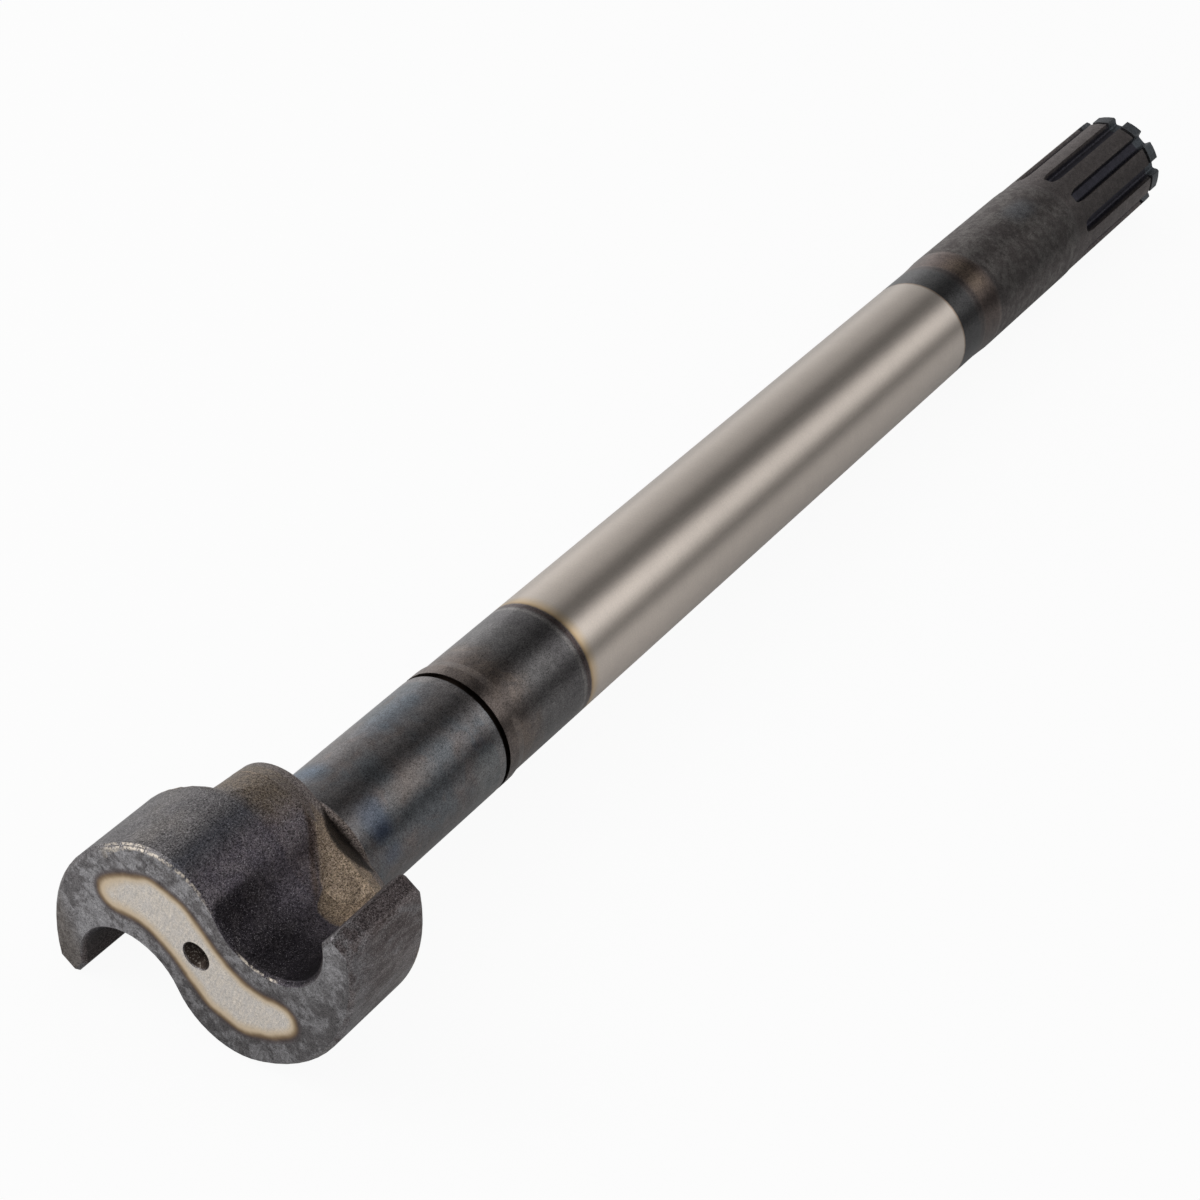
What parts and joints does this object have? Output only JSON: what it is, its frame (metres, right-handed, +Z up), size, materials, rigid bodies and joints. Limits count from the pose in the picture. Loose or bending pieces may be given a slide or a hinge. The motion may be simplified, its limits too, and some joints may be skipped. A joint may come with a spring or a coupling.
{
  "type": "brake camshaft",
  "caption": "One-piece forged brake camshaft with an S-shaped cam head, an oblong boss, two ground journals and a parallel-sided spline at the far end.",
  "frame": {"origin": "on the shaft's axis, at the machined shoulder where the cam journal meets the boss", "axes": "+X along the shaft's axis from the S-shaped head to the splined end. +Z up as the camshaft lies at rest on one lobe's tip, the other lobe's crest and the splined end. +Y completes the right-handed frame, towards the lobe whose tip is down"},
  "size_m": [0.5328, 0.0978, 0.0556],
  "materials": {
    "forged_steel": "dark forged and blasted scale on the head, ground satin steel on the shaft, heat-tinted where the metal was hardened"
  },
  "bodies": {
    "root": {"camshaft": "forged_steel"}
  },
  "joints": []
}
